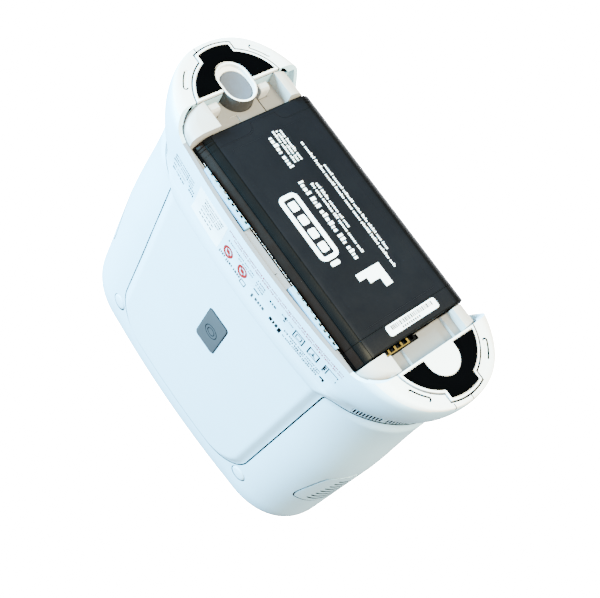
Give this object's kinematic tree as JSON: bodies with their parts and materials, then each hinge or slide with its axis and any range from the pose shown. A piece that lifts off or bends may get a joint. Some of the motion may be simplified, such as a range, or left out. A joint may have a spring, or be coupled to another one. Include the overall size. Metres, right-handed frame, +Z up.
{
  "type": "portable oxygen concentrator",
  "caption": "Portable oxygen concentrator that stands on two feet, with a slide-out battery in its base, a release button, a control deck and a cannula outlet on top.",
  "frame": {"origin": "centre of the bounding box's base, on the plane the two foot pads stand on", "axes": "+X to the right seen from the badged front, towards the foot with the release button; +Y to the rear; +Z up"},
  "size_m": [0.235, 0.0972, 0.249],
  "materials": {
    "shell_white": "cool white moulded plastic, fine satin",
    "foot_white": "warm white moulded plastic",
    "cradle_white": "white moulded plastic, matt",
    "clip_blue": "pale blue-white moulded plastic",
    "badge_grey": "blue-grey satin with a raised plain ring",
    "button_grey": "mid grey satin plastic",
    "vent_grey": "light grey moulded plastic",
    "pad_black": "black, matt",
    "battery_black": "black moulded plastic, semi-gloss",
    "label_black": "printed black film",
    "display_glass": "dark glossy window",
    "gold": "gold-plated contact strip",
    "steel": "plain machined steel",
    "aluminium": "plain aluminium",
    "board_green": "green circuit board",
    "cell_blue": "shrink-wrapped cell block",
    "foam_grey": "dark grey, matt",
    "tube_clear": "milky silicone tube"
  },
  "bodies": {
    "concentrator": {"base_housing": "shell_white", "front_shell": "shell_white", "rear_shell": "shell_white", "front_badge": "badge_grey", "screw_cap_front_left": "shell_white", "screw_cap_front_right": "shell_white", "screw_cap_rear_left": "shell_white", "screw_cap_rear_right": "shell_white", "side_grille_left": "vent_grey", "side_grille_right": "vent_grey", "waist_vent_left": "vent_grey", "waist_vent_right": "vent_grey", "foot_plate_left": "foot_white", "foot_plate_right": "foot_white", "foot_pad_left": "pad_black", "foot_pad_right": "pad_black", "battery_cradle": "cradle_white", "latch_tower": "foot_white", "comb_front_left": "clip_blue", "comb_front_right": "clip_blue", "bay_connector": "pad_black", "bay_contacts": "gold", "top_deck": "button_grey", "display_window": "display_glass", "outlet_nozzle": "steel", "nozzle_seal": "pad_black", "dc_socket": "pad_black", "intake_filter": "foam_grey", "chassis_plate": "aluminium", "compressor_block": "aluminium", "compressor_motor": "steel", "sieve_column_inner": "aluminium", "sieve_column_outer": "aluminium", "column_manifold": "cradle_white", "product_tank": "aluminium", "valve_block": "aluminium", "solenoid_inner": "pad_black", "solenoid_outer": "pad_black", "fan_frame": "pad_black", "main_board": "board_green", "alarm_buzzer": "pad_black", "air_tube": "tube_clear", "oxygen_tube": "tube_clear", "latch_spring": "steel"},
    "battery": {"battery_case": "battery_black", "battery_cap_left": "battery_black", "battery_cap_right": "battery_black", "battery_label_plate": "label_black", "cell_pack": "cell_blue"},
    "latch_button": {"latch_button": "button_grey"},
    "latch_hooks": {"latch_hook_front": "foot_white", "latch_hook_rear": "foot_white"},
    "power_button": {"power_button": "foot_white"},
    "minus_button": {"minus_button": "foot_white"},
    "plus_button": {"plus_button": "foot_white"},
    "mute_button": {"mute_button": "foot_white"},
    "fan": {"fan_rotor": "foam_grey"},
    "crank": {"crank_wheel": "steel"}
  },
  "joints": [
    {"name": "battery_slide", "type": "slide", "parent": "concentrator", "child": "battery", "axis": [0, 0, -1], "range_m": [0, 0.03]},
    {"name": "latch_press", "type": "slide", "parent": "concentrator", "child": "latch_button", "axis": [0, 0, 1], "range_m": [0, 0.002], "stiffness_N_per_m": 1200, "springref_m": -0.0012, "deforming": ["latch_spring"]},
    {"name": "hooks_slide", "type": "slide", "parent": "concentrator", "child": "latch_hooks", "axis": [1, 0, 0], "range_m": [0, 0.0015]},
    {"name": "power_press", "type": "slide", "parent": "concentrator", "child": "power_button", "axis": [0, 0, -1], "range_m": [0, 0.001], "stiffness_N_per_m": 1500, "springref_m": -0.0006},
    {"name": "minus_press", "type": "slide", "parent": "concentrator", "child": "minus_button", "axis": [0, 0, -1], "range_m": [0, 0.001], "stiffness_N_per_m": 1500, "springref_m": -0.0006},
    {"name": "plus_press", "type": "slide", "parent": "concentrator", "child": "plus_button", "axis": [0, 0, -1], "range_m": [0, 0.001], "stiffness_N_per_m": 1500, "springref_m": -0.0006},
    {"name": "mute_press", "type": "slide", "parent": "concentrator", "child": "mute_button", "axis": [0, 0, -1], "range_m": [0, 0.001], "stiffness_N_per_m": 1500, "springref_m": -0.0006},
    {"name": "fan_spin", "type": "hinge", "parent": "concentrator", "child": "fan", "pos_m": [-0.0522, 0, 0.17], "axis": [1, 0, 0], "continuous": true},
    {"name": "crank_spin", "type": "hinge", "parent": "concentrator", "child": "crank", "pos_m": [0.0245, 0, 0.068], "axis": [1, 0, 0], "continuous": true}
  ],
  "couplings": [
    {"joint": "hooks_slide", "follows": "latch_press", "ratio": 0.75}
  ]
}
